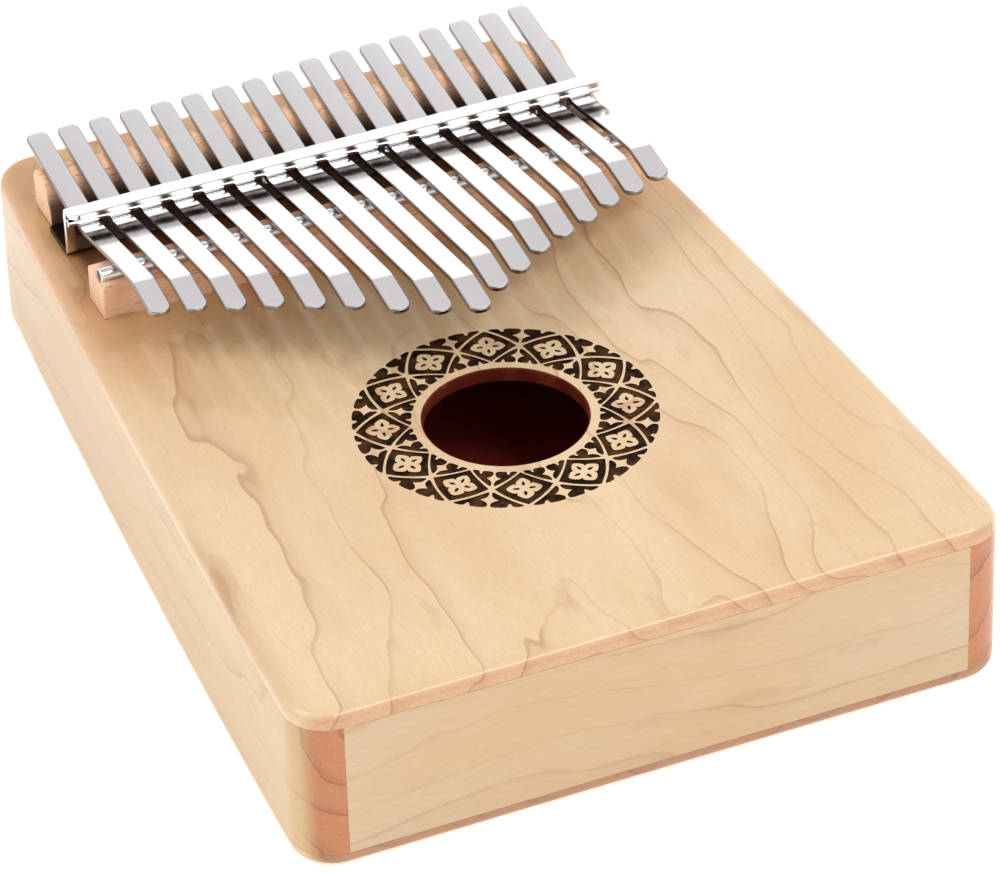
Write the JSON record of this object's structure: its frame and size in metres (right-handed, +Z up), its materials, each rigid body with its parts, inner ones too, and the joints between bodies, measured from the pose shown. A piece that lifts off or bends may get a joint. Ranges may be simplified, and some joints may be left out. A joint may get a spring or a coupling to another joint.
{
  "type": "mbira",
  "caption": "Box mbira: tapered maple sound box with a round sound hole, two wooden bridges, a slotted plated bracket and a row of sprung steel tines.",
  "frame": {"origin": "centre of the sound box's plan, on the face that it rests on", "axes": "+X to the player's right across the tines, +Y from the sound-hole end towards the bridges, +Z up out of the soundboard"},
  "size_m": [0.1364, 0.19, 0.0515],
  "materials": {
    "maple_soundboard": "satin lacquer over figured maple",
    "maple_back": "satin lacquer",
    "maple_sides": "satin lacquer, end grain at the front and rear",
    "maple_end_panels": "satin lacquer, grain across the box",
    "block_wood": "bare, sanded",
    "bridge_wood": "open-pored, oiled",
    "rod_steel": "drawn and polished",
    "plated_bracket": "bright plated sheet",
    "screw_steel": "zinc plated",
    "tine_steel": "ground and polished spring steel"
  },
  "bodies": {
    "sound_box": {"soundboard": "maple_soundboard", "back_board": "maple_back", "side_left": "maple_sides", "side_right": "maple_sides", "front_panel": "maple_end_panels", "rear_panel": "maple_end_panels", "pin_block": "block_wood", "rear_bar": "bridge_wood", "front_bridge": "bridge_wood", "bridge_rod": "rod_steel", "tine_bracket": "plated_bracket", "pressure_rod": "rod_steel", "bracket_screws": "screw_steel"},
    "tail_01": {"tine_01_tail": "tine_steel"},
    "tail_02": {"tine_02_tail": "tine_steel"},
    "tail_03": {"tine_03_tail": "tine_steel"},
    "tail_04": {"tine_04_tail": "tine_steel"},
    "tail_05": {"tine_05_tail": "tine_steel"},
    "tail_06": {"tine_06_tail": "tine_steel"},
    "tail_07": {"tine_07_tail": "tine_steel"},
    "tail_08": {"tine_08_tail": "tine_steel"},
    "tail_09": {"tine_09_tail": "tine_steel"},
    "tail_10": {"tine_10_tail": "tine_steel"},
    "tail_11": {"tine_11_tail": "tine_steel"},
    "tail_12": {"tine_12_tail": "tine_steel"},
    "tail_13": {"tine_13_tail": "tine_steel"},
    "tail_14": {"tine_14_tail": "tine_steel"},
    "tail_15": {"tine_15_tail": "tine_steel"},
    "tail_16": {"tine_16_tail": "tine_steel"},
    "tail_17": {"tine_17_tail": "tine_steel"},
    "tongue_01": {"tine_01_tongue": "tine_steel"},
    "tongue_02": {"tine_02_tongue": "tine_steel"},
    "tongue_03": {"tine_03_tongue": "tine_steel"},
    "tongue_04": {"tine_04_tongue": "tine_steel"},
    "tongue_05": {"tine_05_tongue": "tine_steel"},
    "tongue_06": {"tine_06_tongue": "tine_steel"},
    "tongue_07": {"tine_07_tongue": "tine_steel"},
    "tongue_08": {"tine_08_tongue": "tine_steel"},
    "tongue_09": {"tine_09_tongue": "tine_steel"},
    "tongue_10": {"tine_10_tongue": "tine_steel"},
    "tongue_11": {"tine_11_tongue": "tine_steel"},
    "tongue_12": {"tine_12_tongue": "tine_steel"},
    "tongue_13": {"tine_13_tongue": "tine_steel"},
    "tongue_14": {"tine_14_tongue": "tine_steel"},
    "tongue_15": {"tine_15_tongue": "tine_steel"},
    "tongue_16": {"tine_16_tongue": "tine_steel"},
    "tongue_17": {"tine_17_tongue": "tine_steel"}
  },
  "joints": [
    {"name": "tine_01_tuning", "type": "slide", "parent": "sound_box", "child": "tail_01", "axis": [0, 1, 0], "range_m": [-0.0005, 0.0005]},
    {"name": "tine_02_tuning", "type": "slide", "parent": "sound_box", "child": "tail_02", "axis": [0, 1, 0], "range_m": [-0.0005, 0.0005]},
    {"name": "tine_03_tuning", "type": "slide", "parent": "sound_box", "child": "tail_03", "axis": [0, 1, 0], "range_m": [-0.0005, 0.0005]},
    {"name": "tine_04_tuning", "type": "slide", "parent": "sound_box", "child": "tail_04", "axis": [0, 1, 0], "range_m": [-0.0005, 0.0005]},
    {"name": "tine_05_tuning", "type": "slide", "parent": "sound_box", "child": "tail_05", "axis": [0, 1, 0], "range_m": [-0.0005, 0.0005]},
    {"name": "tine_06_tuning", "type": "slide", "parent": "sound_box", "child": "tail_06", "axis": [0, 1, 0], "range_m": [-0.0005, 0.0005]},
    {"name": "tine_07_tuning", "type": "slide", "parent": "sound_box", "child": "tail_07", "axis": [0, 1, 0], "range_m": [-0.0005, 0.0005]},
    {"name": "tine_08_tuning", "type": "slide", "parent": "sound_box", "child": "tail_08", "axis": [0, 1, 0], "range_m": [-0.0005, 0.0005]},
    {"name": "tine_09_tuning", "type": "slide", "parent": "sound_box", "child": "tail_09", "axis": [0, 1, 0], "range_m": [-0.0005, 0.0005]},
    {"name": "tine_10_tuning", "type": "slide", "parent": "sound_box", "child": "tail_10", "axis": [0, 1, 0], "range_m": [-0.0005, 0.0005]},
    {"name": "tine_11_tuning", "type": "slide", "parent": "sound_box", "child": "tail_11", "axis": [0, 1, 0], "range_m": [-0.0005, 0.0005]},
    {"name": "tine_12_tuning", "type": "slide", "parent": "sound_box", "child": "tail_12", "axis": [0, 1, 0], "range_m": [-0.0005, 0.0005]},
    {"name": "tine_13_tuning", "type": "slide", "parent": "sound_box", "child": "tail_13", "axis": [0, 1, 0], "range_m": [-0.0005, 0.0005]},
    {"name": "tine_14_tuning", "type": "slide", "parent": "sound_box", "child": "tail_14", "axis": [0, 1, 0], "range_m": [-0.0005, 0.0005]},
    {"name": "tine_15_tuning", "type": "slide", "parent": "sound_box", "child": "tail_15", "axis": [0, 1, 0], "range_m": [-0.0005, 0.0005]},
    {"name": "tine_16_tuning", "type": "slide", "parent": "sound_box", "child": "tail_16", "axis": [0, 1, 0], "range_m": [-0.0005, 0.0005]},
    {"name": "tine_17_tuning", "type": "slide", "parent": "sound_box", "child": "tail_17", "axis": [0, 1, 0], "range_m": [-0.0005, 0.0005]},
    {"name": "tine_01_pluck", "type": "hinge", "parent": "tail_01", "child": "tongue_01", "pos_m": [-0.04988, 0.03699, 0.04409], "axis": [1, 0, 0], "range_deg": [-2.5, 5], "stiffness_Nm_per_rad": 0.01066},
    {"name": "tine_02_pluck", "type": "hinge", "parent": "tail_02", "child": "tongue_02", "pos_m": [-0.04352, 0.03699, 0.04409], "axis": [1, 0, 0], "range_deg": [-2.5, 5], "stiffness_Nm_per_rad": 0.01522},
    {"name": "tine_03_pluck", "type": "hinge", "parent": "tail_03", "child": "tongue_03", "pos_m": [-0.03716, 0.03699, 0.04409], "axis": [1, 0, 0], "range_deg": [-2.5, 5], "stiffness_Nm_per_rad": 0.02407},
    {"name": "tine_04_pluck", "type": "hinge", "parent": "tail_04", "child": "tongue_04", "pos_m": [-0.0308, 0.03699, 0.04409], "axis": [1, 0, 0], "range_deg": [-2.5, 5], "stiffness_Nm_per_rad": 0.03359},
    {"name": "tine_05_pluck", "type": "hinge", "parent": "tail_05", "child": "tongue_05", "pos_m": [-0.02444, 0.03699, 0.04409], "axis": [1, 0, 0], "range_deg": [-2.5, 5], "stiffness_Nm_per_rad": 0.05179},
    {"name": "tine_06_pluck", "type": "hinge", "parent": "tail_06", "child": "tongue_06", "pos_m": [-0.01808, 0.03699, 0.04409], "axis": [1, 0, 0], "range_deg": [-2.5, 5], "stiffness_Nm_per_rad": 0.07111},
    {"name": "tine_07_pluck", "type": "hinge", "parent": "tail_07", "child": "tongue_07", "pos_m": [-0.01172, 0.03699, 0.04409], "axis": [1, 0, 0], "range_deg": [-2.5, 5], "stiffness_Nm_per_rad": 0.10757},
    {"name": "tine_08_pluck", "type": "hinge", "parent": "tail_08", "child": "tongue_08", "pos_m": [-0.00536, 0.03699, 0.04409], "axis": [1, 0, 0], "range_deg": [-2.5, 5], "stiffness_Nm_per_rad": 0.1459},
    {"name": "tine_09_pluck", "type": "hinge", "parent": "tail_09", "child": "tongue_09", "pos_m": [0.001, 0.03699, 0.04409], "axis": [1, 0, 0], "range_deg": [-2.5, 5], "stiffness_Nm_per_rad": 0.17834},
    {"name": "tine_10_pluck", "type": "hinge", "parent": "tail_10", "child": "tongue_10", "pos_m": [0.00736, 0.03699, 0.04409], "axis": [1, 0, 0], "range_deg": [-2.5, 5], "stiffness_Nm_per_rad": 0.11914},
    {"name": "tine_11_pluck", "type": "hinge", "parent": "tail_11", "child": "tongue_11", "pos_m": [0.01372, 0.03699, 0.04409], "axis": [1, 0, 0], "range_deg": [-2.5, 5], "stiffness_Nm_per_rad": 0.08756},
    {"name": "tine_12_pluck", "type": "hinge", "parent": "tail_12", "child": "tongue_12", "pos_m": [0.02008, 0.03699, 0.04409], "axis": [1, 0, 0], "range_deg": [-2.5, 5], "stiffness_Nm_per_rad": 0.0576},
    {"name": "tine_13_pluck", "type": "hinge", "parent": "tail_13", "child": "tongue_13", "pos_m": [0.02644, 0.03699, 0.04409], "axis": [1, 0, 0], "range_deg": [-2.5, 5], "stiffness_Nm_per_rad": 0.04178},
    {"name": "tine_14_pluck", "type": "hinge", "parent": "tail_14", "child": "tongue_14", "pos_m": [0.0328, 0.03699, 0.04409], "axis": [1, 0, 0], "range_deg": [-2.5, 5], "stiffness_Nm_per_rad": 0.03009},
    {"name": "tine_15_pluck", "type": "hinge", "parent": "tail_15", "child": "tongue_15", "pos_m": [0.03916, 0.03699, 0.04409], "axis": [1, 0, 0], "range_deg": [-2.5, 5], "stiffness_Nm_per_rad": 0.01918},
    {"name": "tine_16_pluck", "type": "hinge", "parent": "tail_16", "child": "tongue_16", "pos_m": [0.04552, 0.03699, 0.04409], "axis": [1, 0, 0], "range_deg": [-2.5, 5], "stiffness_Nm_per_rad": 0.01353},
    {"name": "tine_17_pluck", "type": "hinge", "parent": "tail_17", "child": "tongue_17", "pos_m": [0.05188, 0.03699, 0.04409], "axis": [1, 0, 0], "range_deg": [-2.5, 5], "stiffness_Nm_per_rad": 0.00835}
  ]
}
